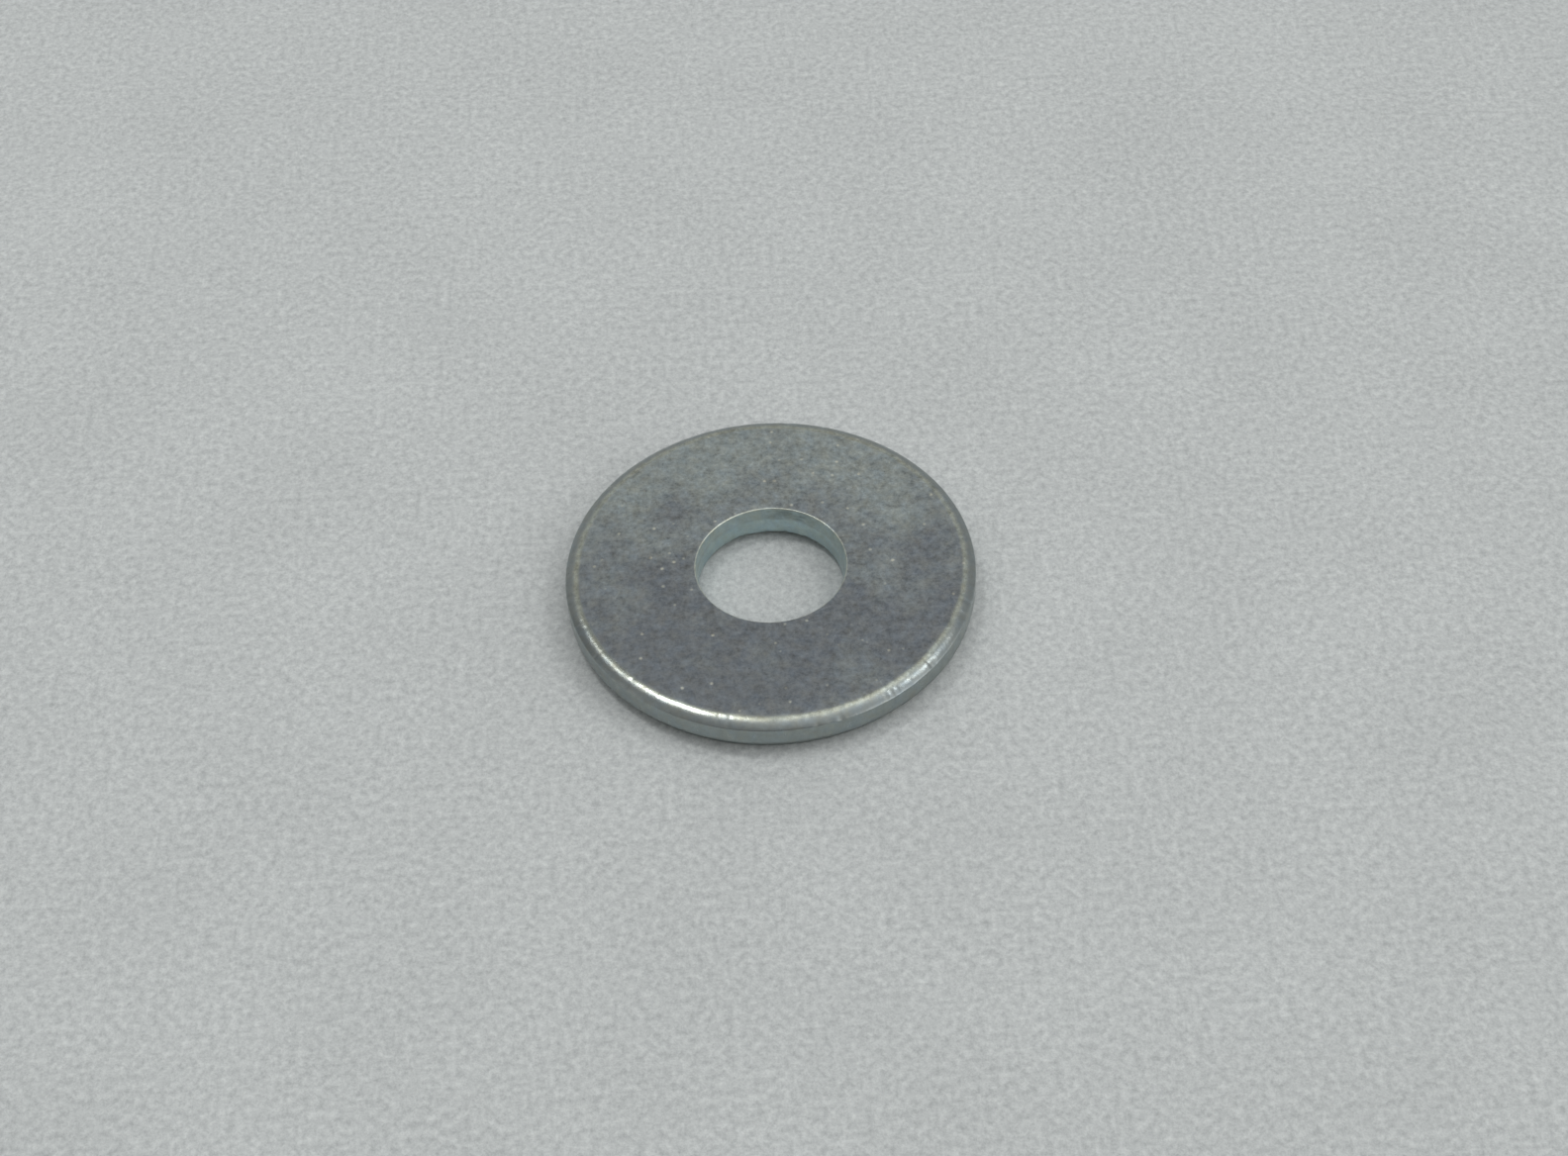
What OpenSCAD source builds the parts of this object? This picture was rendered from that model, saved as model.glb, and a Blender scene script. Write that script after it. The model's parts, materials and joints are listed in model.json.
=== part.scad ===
// Flat washer, large series, to go under the head or nut of an M6 bolt.
//
// One piece of steel, pierced and then blanked from strip in the same direction, tumbled and
// plated. Each wall is sheared straight over most of its height and torn over the rest, where
// it leans back into the metal. The outside wall is torn next to the bottom face and the
// bore's wall next to the top face. The edge at the other end of each wall has a die roll.
//
// The origin is the centre of the bottom face, +Z is the bore's axis, and the outside edge
// with the die roll is uppermost. All lengths are in millimetres.

/* [Size] */
// Outside diameter
outer_d = 18; // [16:0.1:22]
// Bore diameter, across the sheared part of its wall
bore_d = 6.4; // [6.2:0.1:8]
// Thickness, from face to face
thickness = 1.7; // [1.2:0.1:2.5]

/* [Sheared edges] */
// Radius of the die roll round the outside of the top face
outer_roll_r = 0.45; // [0.1:0.05:0.5]
// Radius of the die roll round the bore, on the bottom face
bore_roll_r = 0.35; // [0.1:0.05:0.4]
// Share of the thickness over which each wall is torn
torn_share = 0.35; // [0.25:0.05:0.45]
// How far the torn part of the outside wall has leaned back where it ends
outer_lean = 0.25; // [0.02:0.01:0.3]
// How far the torn part of the bore's wall has leaned back where it ends
bore_lean = 0.1; // [0.02:0.01:0.2]
// Radius that tumbling has worn on the outside of the bottom face
foot_r = 0.25; // [0.1:0.05:0.25]
// Radius that tumbling has worn round the bore's mouth in the top face
mouth_r = 0.1; // [0.04:0.02:0.16]

/* [Hidden] */
$fn = 180;

outer_r = outer_d / 2;
bore_r = bore_d / 2;
torn_h = thickness * torn_share;
torn_outer_r = outer_r - outer_lean;
torn_bore_r = bore_r + bore_lean;

// How far a cutter reaches past the metal that it trims
overlap = 0.5;

// The finished ring
module washer() {
    color("silver")
        rotate_extrude()
            section();
}

// One side of a cut through the axis, with x as the radius and y as the height
module section() {
    difference() {
        sheared_outline();
        eased_corner([outer_r, thickness], outer_roll_r, [1, 1]);
        eased_corner([torn_outer_r, 0], foot_r, [1, -1]);
        eased_corner([bore_r, 0], bore_roll_r, [-1, -1]);
        eased_corner([torn_bore_r, thickness], mouth_r, [-1, 1]);
    }
}

// The section with its corners still square
module sheared_outline() {
    polygon([
        [bore_r, 0],
        [torn_outer_r, 0],
        [torn_outer_r, foot_r],
        [outer_r, torn_h],
        [outer_r, thickness],
        [torn_bore_r, thickness],
        [torn_bore_r, thickness - mouth_r],
        [bore_r, thickness - torn_h]
    ]);
}

// What comes off a square corner to leave radius r, where out points diagonally out of the metal
module eased_corner(corner, r, out) {
    reach = r + overlap;
    translate(corner - r * out)
        difference() {
            translate(reach / 2 * out)
                square(reach, center = true);
            circle(r);
        }
}

washer();
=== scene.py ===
# The looks of a zinc plated flat washer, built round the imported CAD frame.
# Metres, +Z up. The bottom face lies on z = 0 and the bore's axis is x = y = 0.
import json
import math
import random
from collections import namedtuple

import bpy
from mathutils import Matrix, Vector, noise


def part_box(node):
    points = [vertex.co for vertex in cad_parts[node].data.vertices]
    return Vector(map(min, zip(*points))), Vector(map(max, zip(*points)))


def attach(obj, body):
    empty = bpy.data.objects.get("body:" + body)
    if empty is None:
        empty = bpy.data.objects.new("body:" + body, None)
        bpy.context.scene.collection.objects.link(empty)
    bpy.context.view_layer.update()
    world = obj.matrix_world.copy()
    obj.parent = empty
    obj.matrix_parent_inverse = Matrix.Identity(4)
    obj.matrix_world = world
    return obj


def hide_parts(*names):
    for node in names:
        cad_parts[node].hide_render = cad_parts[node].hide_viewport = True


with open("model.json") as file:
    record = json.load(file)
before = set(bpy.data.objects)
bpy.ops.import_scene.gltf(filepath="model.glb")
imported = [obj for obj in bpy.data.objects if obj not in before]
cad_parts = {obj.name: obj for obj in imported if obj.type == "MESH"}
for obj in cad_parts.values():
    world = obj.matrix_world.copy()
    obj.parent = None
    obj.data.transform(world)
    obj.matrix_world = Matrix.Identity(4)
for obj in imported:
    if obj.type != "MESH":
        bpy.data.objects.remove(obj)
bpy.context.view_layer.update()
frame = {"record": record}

MM = 0.001

# ---- Sizes that the frame gives ----

LOW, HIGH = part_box("washer")
OUTER_R = min(HIGH.x, HIGH.y, -LOW.x, -LOW.y)
THICKNESS = HIGH.z - LOW.z
BORE_MOUNT = next(m for m in frame["record"]["mounts"] if m["name"] == "bore")
BORE_R = BORE_MOUNT["dims"]["r_mm"] * MM

# ---- The shape of the sheared edges ----

ROLL_POWER = 2.2             # a die roll sinks with this power of the way across it
ROLL_HIGHLIGHT_RISE = (0.10, 0.25)   # share of the way across a die roll over which its painted highlight brightens
ROLL_HIGHLIGHT_FADE = (0.40, 0.62)     # and over which that painted highlight fades into its wall's colour
ROLL_UNEVEN = 0.12           # share by which a die roll's size wanders round the ring
ROLL_WAVES = (9, 60)         # how many broad and how many fine waves that makes
ROLL_FINE = 0.4              # the fine waves' size beside the broad ones

TORN_H = 0.60 * MM           # height of the torn part of each wall
TORN_ONSET = 3               # it looks fully torn once 1 / this of that height is past
BREAK_UNEVEN = 0.06 * MM     # how far the line between sheared and torn metal wanders
BREAK_WAVES = (26, 110)
BREAK_FINE = 0.5
TORN_GRAIN = 0.13 * MM       # size of the torn metal's lumps
TORN_ROUGH = 0.006 * MM      # height of the torn metal's lumps
FINER_LUMPS = 2.3            # how much smaller the lumps on those lumps are
FINER_ROUGH = 0.5            # and their height beside the others'
LEAN_TURN = math.radians(55)  # direction in which the punch strayed, where the bore leans most

SHEAR_LINES = 0.002 * MM     # depth of the lines that the die drew down the sheared land
SHEAR_WAVES = 230
SHEAR_ONSET = 3              # they are that deep once 1 / this of the land's height is past

DISH = 0.03 * MM             # how much lower the outside of the ring lies than the bore's mouth
FACE_SAG = 0.006 * MM        # how far from flat the pressing left each face
SAG_SPAN = 7.0 * MM          # distance over which a face wanders by that much
BOTTOM_SAG = Vector((7, 7, 7))  # sets the bottom face's waviness apart from the top's

NICKS = 46                   # nicks that tumbling left round each edge
NICK_LENGTH = (0.10 * MM, 0.40 * MM)
NICK_DEPTH = (0.004 * MM, 0.022 * MM)

# ---- The mesh ----

SEGMENTS = 720
TOP_RINGS = 26
BOTTOM_RINGS = 14
ROLL_STEPS = 9
CORNER_STEPS = 5
LAND_STEPS = 6
TORN_STEPS = 9
TUMBLED_STEPS = 5

# How far a point belongs to a die roll with its painted highlight, the sheared land, the torn part
# and a worn edge with its wear and painted highlight
ZONES = ("roll_and_highlight", "sheared", "torn", "worn")
ON_FACE = (0, 0, 0, 0)
ON_LAND = (0, 1, 0, 0)

# A wall: how deep its die roll sinks and how far it reaches across the face, the radius of the
# corner that follows, how far the torn part leans back at its end and the share by which that
# swings round the ring, the radius worn on the edge there and how brightly its wear and painted
# highlight show, the seed of its unevenness, and the nicks in its two edges
Wall = namedtuple("Wall", (
    "roll_h", "roll_w", "corner_r", "lean", "swing",
    "edge_r", "edge_shine", "seed", "roll_nicks", "torn_nicks",
))


def step(value, ends):
    """0 before the first end, 1 past the second and straight in between."""
    return min(1, max(0, (value - ends[0]) / (ends[1] - ends[0])))


def ripple(angle, waves, seed):
    """Smooth noise from -1 to 1 with about that many waves round the ring, closed on itself."""
    k = waves / math.tau
    return noise.noise(Vector((k * math.cos(angle), k * math.sin(angle), seed)))


def nicks_round(radius, share, seed):
    """Nicks round an edge: angle, half width in angle and depth, at a share of their full size."""
    chance = random.Random(seed)
    made = []
    for _ in range(NICKS):
        half = share * chance.uniform(*NICK_LENGTH) / 2 / radius
        made.append((chance.uniform(0, math.tau), half, share * chance.uniform(*NICK_DEPTH)))
    return made


def nicked(angle, nicks):
    """How deep the nicks cut at an angle."""
    depth = 0.0
    for middle, half, most in nicks:
        away = abs((angle - middle + math.pi) % math.tau - math.pi) / half
        if away < 1:
            depth = max(depth, most * (1 - away ** 2) ** 2)
    return depth


def wall_section(angle, wall):
    """One wall's section at an angle, from the face with its die roll to the face where it is torn.

    Each point is (depth into the metal, distance from the first face, zones).
    """
    seed, corner_r, edge_r = wall.seed, wall.corner_r, wall.edge_r
    broad, fine = ripple(angle, ROLL_WAVES[0], seed), ripple(angle, ROLL_WAVES[1], seed + 4)
    size = 1 + ROLL_UNEVEN * broad + ROLL_FINE * ROLL_UNEVEN * fine
    roll = wall.roll_h * size
    width = wall.roll_w * size
    last_slope = math.atan(ROLL_POWER * roll / width)
    corner_top = roll + corner_r * math.cos(last_slope)
    broad, fine = ripple(angle, BREAK_WAVES[0], seed + 1), ripple(angle, BREAK_WAVES[1], seed + 2)
    torn_h = TORN_H + BREAK_UNEVEN * (broad + BREAK_FINE * fine)
    lean = wall.lean * (1 + wall.swing * math.cos(angle - LEAN_TURN))
    line = SHEAR_LINES * abs(ripple(angle, SHEAR_WAVES, seed + 3))
    nick = nicked(angle, wall.roll_nicks)
    points = []
    # Across the die roll its zone share rises and falls, painting a highlight band
    for i in range(ROLL_STEPS):
        t = i / ROLL_STEPS
        dull = step(t, ROLL_HIGHLIGHT_FADE)
        depth = width * (1 - t) + corner_r * (1 - math.sin(last_slope)) + nick * t
        along = roll * t ** ROLL_POWER + nick * t
        points.append((depth, along, (step(t, ROLL_HIGHLIGHT_RISE) - dull, dull, 0, 0)))
    for i in range(CORNER_STEPS):
        t = i / CORNER_STEPS
        slope = last_slope + (math.pi / 2 - last_slope) * t
        depth = corner_r * (1 - math.sin(slope)) + nick * (1 - t)
        along = corner_top - corner_r * math.cos(slope) + nick * (1 - t)
        points.append((depth, along, ON_LAND))
    for i in range(LAND_STEPS):
        t = i / LAND_STEPS
        along = corner_top * (1 - t) + (THICKNESS - torn_h) * t
        points.append((line * min(1, SHEAR_ONSET * t), along, ON_LAND))
    for i in range(TORN_STEPS):
        t = i / TORN_STEPS
        torn = min(1, TORN_ONSET * t)
        height = torn_h * (1 - t) + edge_r * t
        points.append((line + (lean - line) * t, THICKNESS - height, (0, 1 - torn, torn, 0)))
    nick = nicked(angle, wall.torn_nicks)
    for i in range(TUMBLED_STEPS + 1):
        a = math.pi / 2 * i / TUMBLED_STEPS
        cut = nick * math.sin(2 * a)
        depth = lean + edge_r * (1 - math.cos(a)) + cut
        # The worn edge is paler from wear and from a painted highlight that peaks halfway round it
        zone = (0, 0, math.cos(a), wall.edge_shine * math.sin(2 * a))
        points.append((depth, THICKNESS - edge_r * (1 - math.sin(a)) - cut, zone))
    return points


def between(start, end, rings):
    """The section points of a flat face that lie between the points at its two ends."""
    shares = [i / (rings + 1) for i in range(1, rings + 1)]
    return [(*(Vector(start[:2]).lerp(Vector(end[:2]), t)), ON_FACE) for t in shares]


OUTER_WALL = Wall(
    roll_h=0.23 * MM, roll_w=0.68 * MM, corner_r=0.09 * MM, lean=0.25 * MM, swing=0,
    edge_r=0.24 * MM, edge_shine=0.1, seed=10,
    roll_nicks=nicks_round(OUTER_R, 1.0, 1), torn_nicks=nicks_round(OUTER_R, 0.5, 2),
)
BORE_WALL = Wall(
    roll_h=0.36 * MM, roll_w=0.52 * MM, corner_r=0.06 * MM, lean=0.10 * MM, swing=0.6,
    edge_r=0.07 * MM, edge_shine=0.6, seed=20,
    roll_nicks=nicks_round(BORE_R, 1.0, 3), torn_nicks=nicks_round(BORE_R, 0.3, 4),
)


def ring_section(angle):
    """The whole section at an angle: out over the top, down the outside, back, and up the bore."""
    outside = [
        (OUTER_R - depth, THICKNESS - along, zone)
        for depth, along, zone in wall_section(angle, OUTER_WALL)
    ]
    bore = [
        (BORE_R + depth, along, zone)
        for depth, along, zone in wall_section(angle, BORE_WALL)
    ]
    top = between(bore[-1], outside[0], TOP_RINGS)
    bottom = between(outside[-1], bore[0], BOTTOM_RINGS)
    return top + outside + bottom + bore


def uneven(point, torn):
    """A section point in place, with the ring's dish, its waviness and the torn metal's lumps."""
    p = Vector(point)
    share = p.z / THICKNESS
    radius = math.hypot(p.x, p.y)
    grain = p / TORN_GRAIN
    lump = TORN_ROUGH * torn * (noise.noise(grain) + FINER_ROUGH * noise.noise(grain * FINER_LUMPS))
    on_outside = radius > (OUTER_R + BORE_R) / 2
    inwards = -abs(lump) if on_outside else abs(lump)
    scale = (radius + inwards) / radius
    sag_top = FACE_SAG * (0.5 + 0.5 * noise.noise(p / SAG_SPAN))
    sag_bottom = FACE_SAG * (0.5 + 0.5 * noise.noise(p / SAG_SPAN + BOTTOM_SAG))
    across = (radius - BORE_R) / (OUTER_R - BORE_R)
    height = p.z - sag_top * share + sag_bottom * (1 - share)
    height += DISH * (1 - across - share)
    return Vector((p.x * scale, p.y * scale, min(max(height, 0), THICKNESS)))


def washer_ring():
    """The ring as one closed mesh, with the zones as attributes for its material."""
    verts = []
    zones = []
    for s in range(SEGMENTS):
        angle = math.tau * s / SEGMENTS
        for radius, height, zone in ring_section(angle):
            point = (radius * math.cos(angle), radius * math.sin(angle), height)
            verts.append(uneven(point, zone[ZONES.index("torn")]))
            zones.append(zone)
    count = len(verts) // SEGMENTS
    faces = []
    for s in range(SEGMENTS):
        a, b = s * count, (s + 1) % SEGMENTS * count
        for i in range(count):
            j = (i + 1) % count
            faces.append((a + i, a + j, b + j, b + i))
    mesh = bpy.data.meshes.new("washer_ring")
    mesh.from_pydata(verts, [], faces)
    for index, name in enumerate(ZONES):
        layer = mesh.attributes.new(name, "FLOAT", "POINT")
        layer.data.foreach_set("value", [float(z[index]) for z in zones])
    mesh.polygons.foreach_set("use_smooth", [True] * len(mesh.polygons))
    mesh.update()
    made = bpy.data.objects.new("washer_ring", mesh)
    bpy.context.scene.collection.objects.link(made)
    return made


# ---- Material nodes ----


class Nodes:
    """A short way to write a node tree."""

    def __init__(self, tree):
        self.tree = tree
        tree.nodes.clear()

    def add(self, kind, inputs=None, **settings):
        node = self.tree.nodes.new(kind)
        for name, value in settings.items():
            setattr(node, name, value)
        for name, value in (inputs or {}).items():
            if isinstance(value, bpy.types.NodeSocket):
                self.tree.links.new(value, node.inputs[name])
            else:
                node.inputs[name].default_value = value
        return node

    def math(self, operation, a, b=0.0, clamp=False):
        node = self.add("ShaderNodeMath", {0: a, 1: b}, operation=operation, use_clamp=clamp)
        return node.outputs[0]

    def total(self, *values):
        """The sum of all the values."""
        summed = values[0]
        for value in values[1:]:
            summed = self.math("ADD", summed, value)
        return summed

    def product(self, *values):
        """All the values, multiplied."""
        multiplied = values[0]
        for value in values[1:]:
            multiplied = self.math("MULTIPLY", multiplied, value)
        return multiplied

    def most(self, *values):
        """The highest of the values."""
        highest = values[0]
        for value in values[1:]:
            highest = self.math("MAXIMUM", highest, value)
        return highest

    def vector(self, operation, a, b=(0, 0, 0)):
        return self.add("ShaderNodeVectorMath", {0: a, 1: b}, operation=operation).outputs

    def times(self, vector, factors):
        """A vector or colour times a number, a triple or another one of them."""
        return self.vector("MULTIPLY", vector, factors)[0]

    def split(self, vector):
        return self.add("ShaderNodeSeparateXYZ", {0: vector}).outputs

    def noise(self, vector, scale, detail=2.0, rough=0.5):
        inputs = {"Vector": vector, "Scale": scale, "Detail": detail, "Roughness": rough}
        return self.add("ShaderNodeTexNoise", inputs).outputs["Fac"]

    def ramp(self, value, low, high, to_low=0.0, to_high=1.0, kind="LINEAR"):
        """The value carried from low..high to to_low..to_high, and held at the ends."""
        inputs = {
            "Value": value,
            "From Min": low,
            "From Max": high,
            "To Min": to_low,
            "To Max": to_high,
        }
        return self.add("ShaderNodeMapRange", inputs, interpolation_type=kind).outputs["Result"]

    def fade(self, value, edge, soft):
        """1 below the edge and 0 above it, with a soft step between."""
        return self.ramp(value, edge - soft, edge + soft, 1.0, 0.0, "SMOOTHSTEP")

    def tone(self, share, factor):
        """1 where the share is 0, and that factor where it is 1."""
        return self.ramp(share, 0, 1, 1.0, factor)

    def mix(self, share, a, b):
        node = self.add("ShaderNodeMix", {"Factor": share}, data_type="RGBA")
        for socket, value in ((node.inputs[6], a), (node.inputs[7], b)):
            if isinstance(value, bpy.types.NodeSocket):
                self.tree.links.new(value, socket)
            else:
                socket.default_value = (*value, 1)
        return node.outputs[2]

    def attribute(self, name):
        return self.add("ShaderNodeAttribute", attribute_name=name).outputs["Fac"]

    def millimetres(self):
        """Where the surface is in its own frame, in millimetres."""
        return self.times(self.add("ShaderNodeTexCoord").outputs["Object"], (1 / MM,) * 3)

    def spots(self, vector, scale, size):
        """Scattered round spots: 1 at their middles, 0 past that share of a cell away."""
        inputs = {"Vector": vector, "Scale": scale, "Randomness": 1.0}
        distance = self.add("ShaderNodeTexVoronoi", inputs).outputs["Distance"]
        return self.ramp(distance, size, size * SPOT_CORE)

    def scratches(self, vector, turn):
        """Short fine lines that all run nearly one way, turned by that angle in the XY plane."""
        inputs = {"Vector": vector, "Rotation": (0, 0, turn)}
        turned = self.add("ShaderNodeMapping", inputs).outputs[0]
        return self.ramp(self.noise(self.times(turned, SCRATCH_SCALE), 1.0, 1.0), *SCRATCH_EDGE)


# ---- The washer's coating ----

# Noises, each as its scale (in repeats per millimetre), detail and roughness
SPECKLE = (3.0, 4.0, 0.8)
MOTTLE = (1.3, 2.0, 0.6)
HUE = (1.7, 3.0, 0.7)
DRIFT = (0.4, 3.0)
GRAIN = (4.6, 4.0, 0.6)
TORN_METAL = (7.0, 4.0, 0.6)

# Spots, each as its scale and size, and the share of that size within which a spot is full
FLECKS = (1.3, 0.13)
PITS = (1.6, 0.10)
SPOT_CORE = 0.4

# How finely scratches repeat, in lines per millimetre: along them, across them, and in depth
SCRATCH_SCALE = (0.5, 11.0, 1.0)
SCRATCH_TURNS = (0.3, 1.2, 2.0, 2.8)
SCRATCH_EDGE = (0.68, 0.76)          # noise above this is a scratch

DRAWN_SCALE = (7, 7, 0.5)            # how finely the die's lines repeat, per millimetre
SCUFF_PLACE = (1.1, 3.2, 1.35)       # where the torn wall of the bore is scuffed, in millimetres
SCUFF_REACH = (1.5, 0.5)             # it starts and is full at these distances
SCUFF_SCALE = (2, 2, 6)
SCUFF_EDGE = (0.35, 0.6)
PAINTED_SHADE_OUTSIDE_FROM = (5, 7)                # the outside walls' painted shade fades in between the bore's wall and the outside one, in millimetres

# How much each mark darkens or lightens
FACE_CONTRAST = 2.0
WALL_CONTRAST = 0.6
MOTTLE_CONTRAST = 0.6
PIT_SHADE = 0.72
SCRATCH_SHADE = 1.12
SCUFF_SHADE = 0.65
# Painted shade on sheared metal that faces up
UPWARD_PAINTED_SHADE = 0.85
UPWARD_PAINTED_SHADE_FROM = (0.55, 0.85)          # how far up the sheared metal faces, as its normal's height, for its painted shade
FLECK_SHARE = 0.7

# Heights of the marks, in millimetres
GRAIN_HEIGHT = 0.004
FLECK_HEIGHT = 0.003
DRAWN_HEIGHT = 0.004
TORN_HEIGHT = 0.02
SCRATCH_HEIGHT = -0.0006
PIT_HEIGHT = -0.003

# Roughness of each zone, and how much the speckle changes it
FACE_ROUGHNESS = 0.32
ROLLED_ROUGHNESS = 0.22
LAND_ROUGHNESS = 0.30
TORN_ROUGHNESS = 0.45
SPECKLE_ROUGHNESS = 0.04

PAINTED_REFLECTION_FRONT_TO_BACK = (-2, 5.5)           # painted reflection, darker at the front and lighter at the back of the ring, between these Y in millimetres
DRIFT_SHARE = 2.2
# The face's colours: lighter at the back and darker at the front, a painted reflection
FACE_BACK_PAINTED_LIGHTER = (0.423, 0.472, 0.460)
FACE_FRONT_PAINTED_DARKER = (0.270, 0.295, 0.313)
HUE_COOL = (0.955, 1.000, 1.060)
HUE_WARM = (1.040, 1.000, 0.935)
BORE_LAND = (0.460, 0.562, 0.567)
BORE_TORN = (0.490, 0.570, 0.560)
# The outside walls' colours are darker than the bore's, a painted shade
OUTSIDE_LAND_PAINTED_SHADE = (0.355, 0.394, 0.389)
OUTSIDE_TORN_PAINTED_SHADE = (0.320, 0.355, 0.350)
# The die roll's paler colour is a painted highlight
ROLL_PAINTED_HIGHLIGHT = (0.440, 0.470, 0.410)
# Worn edges: their own wear plus a painted highlight
WORN_AND_HIGHLIGHT_PALE = (0.700, 0.720, 0.590)
FLECK_PALE = (0.800, 0.800, 0.680)

# The part of a noise's range in which nearly all of it lies
MIDDLE = (0.3, 0.7)


def zinc_plate():
    """Satin zinc plate over tumbled steel: speckled faces with a painted reflection, rolls with a
    painted highlight, drawn and torn walls.
    """
    material = bpy.data.materials.new("zinc_plated_steel")
    material.use_nodes = True
    n = Nodes(material.node_tree)
    place = n.millimetres()
    mirrored = n.times(place, (1, -1, -1))
    roll_and_highlight, sheared, torn, worn = (n.attribute(zone) for zone in ZONES)
    plain = n.math("SUBTRACT", 1.0, n.total(sheared, torn), clamp=True)

    # The face is painted darker and bluer towards the front and lighter and greener towards the
    # back, a painted reflection, and it wanders between at random
    along = n.ramp(n.split(place)["Y"], *PAINTED_REFLECTION_FRONT_TO_BACK)
    wander = n.product(n.math("SUBTRACT", n.noise(mirrored, *DRIFT), 0.5), DRIFT_SHARE)
    face = n.mix(n.math("ADD", along, wander, clamp=True), FACE_FRONT_PAINTED_DARKER, FACE_BACK_PAINTED_LIGHTER)
    # The outside walls are painted darker than the bore's walls: painted shade
    outside = n.ramp(n.vector("LENGTH", place)["Value"], *PAINTED_SHADE_OUTSIDE_FROM)
    colour = n.mix(sheared, face, n.mix(outside, BORE_LAND, OUTSIDE_LAND_PAINTED_SHADE))
    colour = n.mix(torn, colour, n.mix(outside, BORE_TORN, OUTSIDE_TORN_PAINTED_SHADE))
    # Painted highlight on the die rolls
    colour = n.mix(roll_and_highlight, colour, ROLL_PAINTED_HIGHLIGHT)
    # Worn edges: paler from wear, with a painted highlight
    colour = n.mix(worn, colour, WORN_AND_HIGHLIGHT_PALE)

    # Marks on the faces: speckle, flecks that catch the light, pits and fine scratches
    speckle = n.noise(place, *SPECKLE)
    mottle = n.product(n.math("SUBTRACT", n.noise(mirrored, *MOTTLE), 0.5), plain)
    flecks = n.product(n.spots(place, *FLECKS), plain)
    pits = n.product(n.spots(mirrored, *PITS), plain)
    scratched = n.product(n.most(*[n.scratches(place, turn) for turn in SCRATCH_TURNS]), plain)

    # Marks on the walls: the die's lines, a scuffed stretch in the bore, and painted shade on
    # sheared metal where it turns up towards the face
    drawn = n.product(n.noise(n.times(place, DRAWN_SCALE), 1.0, 2.0), sheared)
    away = n.vector("DISTANCE", place, SCUFF_PLACE)["Value"]
    scuff_marks = n.ramp(n.noise(n.times(place, SCUFF_SCALE), 1.0), *SCUFF_EDGE)
    scuff = n.product(torn, n.ramp(away, *SCUFF_REACH), scuff_marks)
    facing = n.split(n.add("ShaderNodeNewGeometry").outputs["Normal"])["Z"]
    # Painted shade: sheared metal is darkened where its normal turns up
    upward_painted_shade = n.product(sheared, n.ramp(facing, *UPWARD_PAINTED_SHADE_FROM))

    contrast = n.ramp(plain, 0, 1, WALL_CONTRAST, FACE_CONTRAST)
    speckled = n.product(n.math("SUBTRACT", speckle, 0.5), contrast)
    shade = n.product(
        n.total(1.0, speckled, n.product(mottle, MOTTLE_CONTRAST)),
        n.tone(pits, PIT_SHADE),
        n.tone(scratched, SCRATCH_SHADE),
        n.tone(scuff, SCUFF_SHADE),
        n.tone(upward_painted_shade, UPWARD_PAINTED_SHADE),
    )
    colour = n.mix(n.product(flecks, FLECK_SHARE), colour, FLECK_PALE)
    tint = n.mix(n.ramp(n.noise(place, *HUE), *MIDDLE), HUE_COOL, HUE_WARM)
    colour = n.times(n.times(colour, shade), tint)

    dull, shiny = FACE_ROUGHNESS + SPECKLE_ROUGHNESS, FACE_ROUGHNESS - SPECKLE_ROUGHNESS
    rough = n.total(
        n.ramp(speckle, *MIDDLE, dull, shiny),
        n.product(roll_and_highlight, ROLLED_ROUGHNESS - FACE_ROUGHNESS),
        n.product(sheared, LAND_ROUGHNESS - FACE_ROUGHNESS),
        n.product(torn, TORN_ROUGHNESS - FACE_ROUGHNESS),
    )
    height = n.total(
        n.product(n.noise(place, *GRAIN), GRAIN_HEIGHT),
        n.product(scratched, SCRATCH_HEIGHT),
        n.product(pits, PIT_HEIGHT),
        n.product(flecks, FLECK_HEIGHT),
        n.product(drawn, DRAWN_HEIGHT),
        n.product(n.noise(place, *TORN_METAL), torn, TORN_HEIGHT),
    )
    bump = n.add("ShaderNodeBump", {"Height": height, "Distance": MM, "Strength": 1.0})
    shader = n.add("ShaderNodeBsdfPrincipled", {
        "Base Color": colour,
        "Metallic": 1.0,
        "Roughness": rough,
        "Normal": bump.outputs["Normal"],
    })
    n.add("ShaderNodeOutputMaterial", {"Surface": shader.outputs[0]})
    return material


# ---- The floor ----

FLOOR_SIZE = 3.0
NAP = (2.9, 4.0, 0.8)                # noises as above
CLOUD = (0.12, 3.0)
CLOUD_SHADE = (0.97, 1.03)
NAP_HEIGHT = 0.04 * MM
NAP_DARK = (0.480, 0.506, 0.506)
NAP_PALE = (0.794, 0.826, 0.816)


def felt():
    """Pale grey cloth with a short nap, for the floor."""
    material = bpy.data.materials.new("pale_cloth")
    material.use_nodes = True
    n = Nodes(material.node_tree)
    place = n.millimetres()
    nap = n.noise(place, *NAP)
    colour = n.mix(n.ramp(nap, *MIDDLE), NAP_DARK, NAP_PALE)
    colour = n.times(colour, n.ramp(n.noise(place, *CLOUD), *MIDDLE, *CLOUD_SHADE))
    bump = n.add("ShaderNodeBump", {"Height": nap, "Distance": NAP_HEIGHT, "Strength": 1.0})
    shader = n.add("ShaderNodeBsdfPrincipled", {
        "Base Color": colour,
        "Roughness": 0.95,
        "Specular IOR Level": 0.1,
        "Normal": bump.outputs["Normal"],
    })
    n.add("ShaderNodeOutputMaterial", {"Surface": shader.outputs[0]})
    return material


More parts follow.
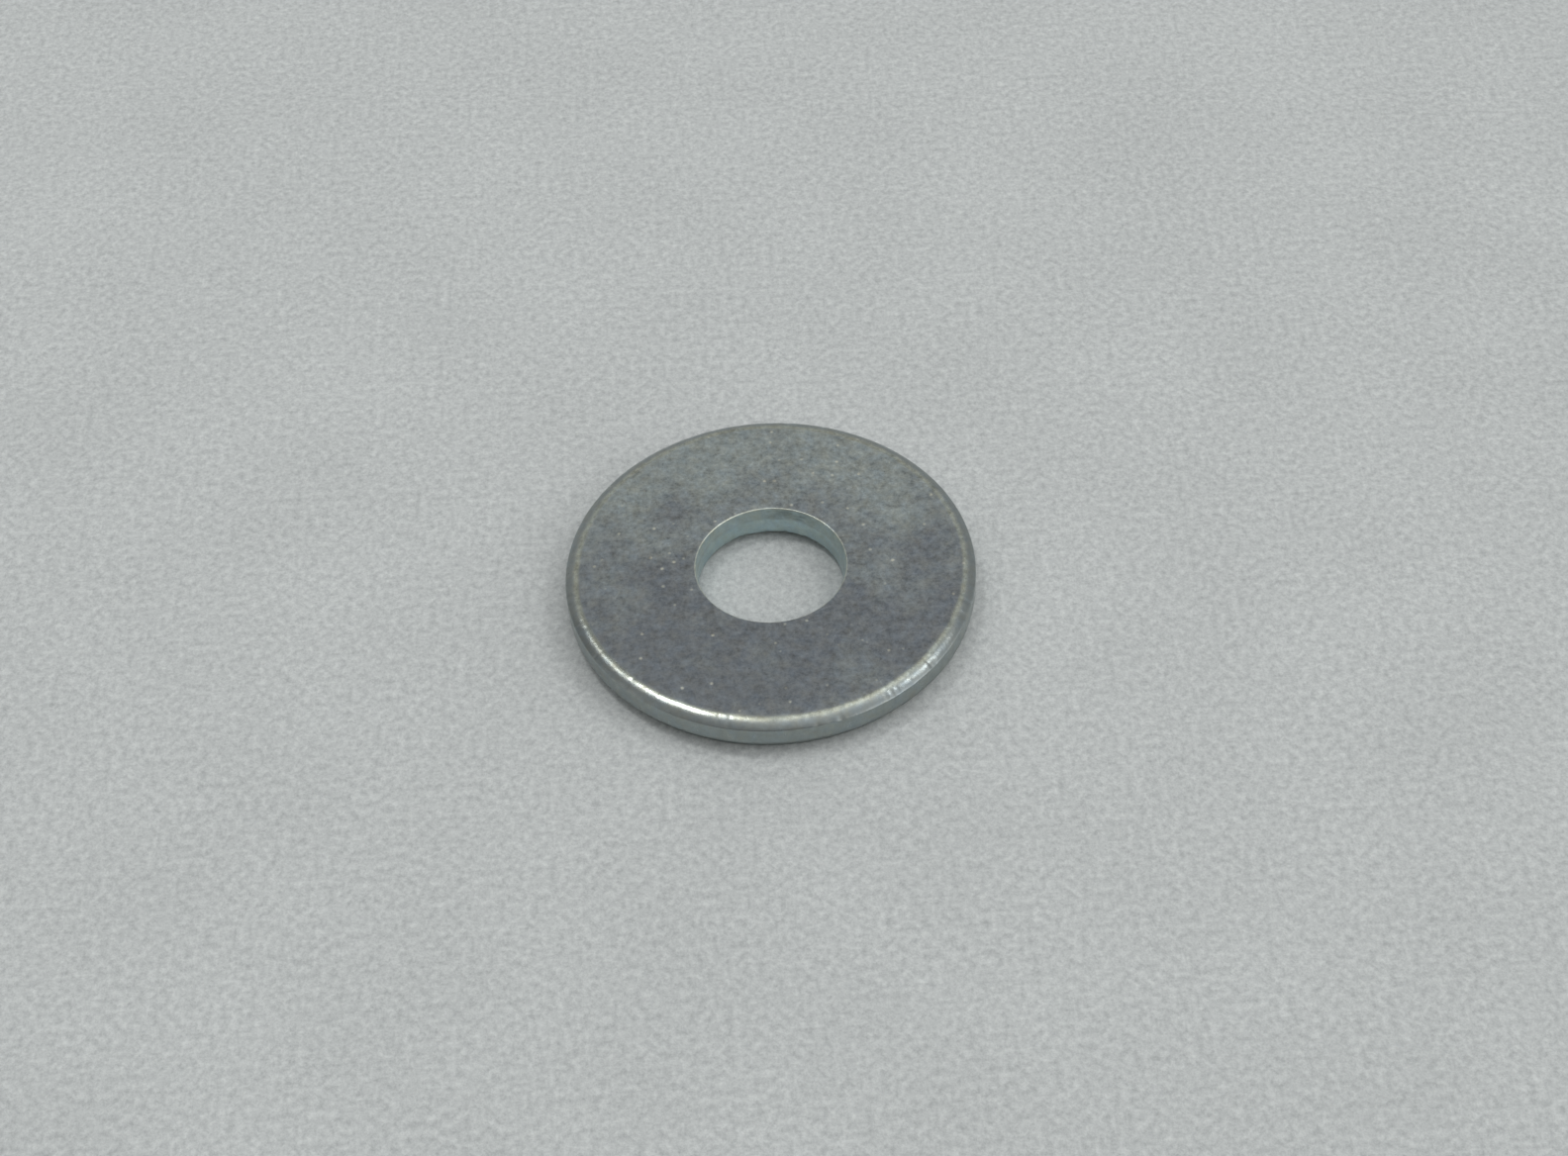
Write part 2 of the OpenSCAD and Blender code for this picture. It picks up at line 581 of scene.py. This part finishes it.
def floor():
    """A plain floor, which isn't part of the washer."""
    half = FLOOR_SIZE / 2
    corners = [(-half, -half, 0), (half, -half, 0), (half, half, 0), (-half, half, 0)]
    mesh = bpy.data.meshes.new("floor")
    mesh.from_pydata(corners, [], [(0, 1, 2, 3)])
    made = bpy.data.objects.new("floor", mesh)
    bpy.context.scene.collection.objects.link(made)
    made.data.materials.append(felt())


# ---- The studio ----

AMBIENT = 0.106
BACKDROP = 0.42              # how bright the empty studio looks to the camera
AIR = (1.0, 1.0, 1.0)        # the colour of its light

# Broad patches of light: elevation, azimuth, half width and strength
PATCHES = (
    (30, 120, 16, 1.95),
    (70, 50, 14, 1.15),
    (10, 90, 18, 0.90),
    (70, 150, 14, 0.55),
    (88, 0, 12, 0.49),
    (62, 225, 20, 0.30),
    (35, 262, 13, 0.50),
)

# Lit walls: elevation of the top and its softness, azimuth, half width and its softness, strength
WALLS = (
    (50, 3, 0, 60, 20, 0.37),
    (22, 9, 215, 70, 30, 0.30),
)

# Round soft boxes: elevation, azimuth and the irradiance that each gives the washer
LIGHT_DISTANCE = 0.7
LIGHT_WIDTH = 10             # angle that a soft box spans, in degrees
SOFT_BOXES = {
    "key": (70, 310, 0.38),
    "low": (54, 305, 0.09),
    "side": (53, 82, 0.22),
}


def direction(elevation, azimuth):
    """A unit vector, where azimuth 0 is behind the washer and 90 to its right, in degrees."""
    e, a = math.radians(elevation), math.radians(azimuth)
    return Vector((math.cos(e) * math.sin(a), math.cos(e) * math.cos(a), math.sin(e)))


def soft_light(name, elevation, azimuth, irradiance):
    """A round soft box that faces the washer from that direction."""
    light = bpy.data.lights.new(name, "AREA")
    light.shape = "DISK"
    light.size = 2 * LIGHT_DISTANCE * math.tan(math.radians(LIGHT_WIDTH / 2))
    light.energy = irradiance * math.pi * LIGHT_DISTANCE ** 2
    box = bpy.data.objects.new(name, light)
    towards = direction(elevation, azimuth)
    box.location = towards * LIGHT_DISTANCE
    box.rotation_euler = towards.to_track_quat("Z", "Y").to_euler()
    bpy.context.scene.collection.objects.link(box)


def surroundings():
    """A studio lit by broad soft patches and by pale walls, with angles in degrees."""
    world = bpy.data.worlds.new("studio")
    bpy.context.scene.world = world
    world.use_nodes = True
    n = Nodes(world.node_tree)
    here = n.vector("NORMALIZE", n.add("ShaderNodeTexCoord").outputs["Generated"])[0]
    x, y, z = n.split(here)
    height = n.product(n.math("ARCSINE", z), math.degrees(1))
    turn = n.product(n.math("ARCTAN2", x, y), math.degrees(1))
    light = AMBIENT
    for elevation, azimuth, half_width, strength in PATCHES:
        sharpness = math.log(2) / (1 - math.cos(math.radians(half_width)))
        cosine = n.vector("DOT_PRODUCT", here, direction(elevation, azimuth))["Value"]
        fall = n.math("EXPONENT", n.product(n.math("SUBTRACT", cosine, 1.0), sharpness))
        light = n.total(light, n.product(fall, strength))
    for top, top_soft, azimuth, half_width, side_soft, strength in WALLS:
        inputs = {0: n.math("SUBTRACT", turn, azimuth), 1: 180.0, 2: -180.0}
        turned = n.add("ShaderNodeMath", inputs, operation="WRAP").outputs[0]
        below = n.fade(height, top, top_soft)
        beside = n.fade(n.math("ABSOLUTE", turned), half_width, side_soft)
        light = n.total(light, n.product(below, beside, strength))
    seen = n.add("ShaderNodeLightPath").outputs["Is Camera Ray"]
    shown = n.total(light, n.product(seen, n.math("SUBTRACT", BACKDROP, light)))
    background = n.add("ShaderNodeBackground", {"Color": (*AIR, 1), "Strength": shown})
    n.add("ShaderNodeOutputWorld", {"Surface": background.outputs[0]})


# ---- The camera ----

ELEVATION = math.radians(48.50)
DISTANCE = 6.31 * 2 * OUTER_R        # from the centre of the top face
LENS = 59.55                         # on a 36 mm sensor
PITCH_TRIM = math.radians(0.304)
YAW_TRIM = math.radians(0.440)
ROLL_TRIM = math.radians(-2.85)


def camera():
    """Looks at the washer from the front and above."""
    data = bpy.data.cameras.new("camera")
    data.sensor_width = 36
    data.lens = LENS
    data.clip_start = 0.005
    data.clip_end = 20
    made = bpy.data.objects.new("camera", data)
    bpy.context.scene.collection.objects.link(made)
    aim = Vector((0, 0, THICKNESS))
    made.location = aim + DISTANCE * Vector((0, -math.cos(ELEVATION), math.sin(ELEVATION)))
    pitch = ELEVATION + PITCH_TRIM
    turn = (
        Matrix.Rotation(-YAW_TRIM, 3, "Z")
        @ Matrix.Rotation(math.pi / 2 - pitch, 3, "X")
        @ Matrix.Rotation(ROLL_TRIM, 3, "Z")
    )
    made.rotation_euler = turn.to_euler()
    bpy.context.scene.camera = made


# ---- The scene ----

bpy.context.scene.view_settings.view_transform = "Standard"

ring = washer_ring()
ring.data.materials.append(zinc_plate())
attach(ring, "root")
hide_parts("washer")

floor()
surroundings()
for name, placing in SOFT_BOXES.items():
    soft_light(name, *placing)
camera()
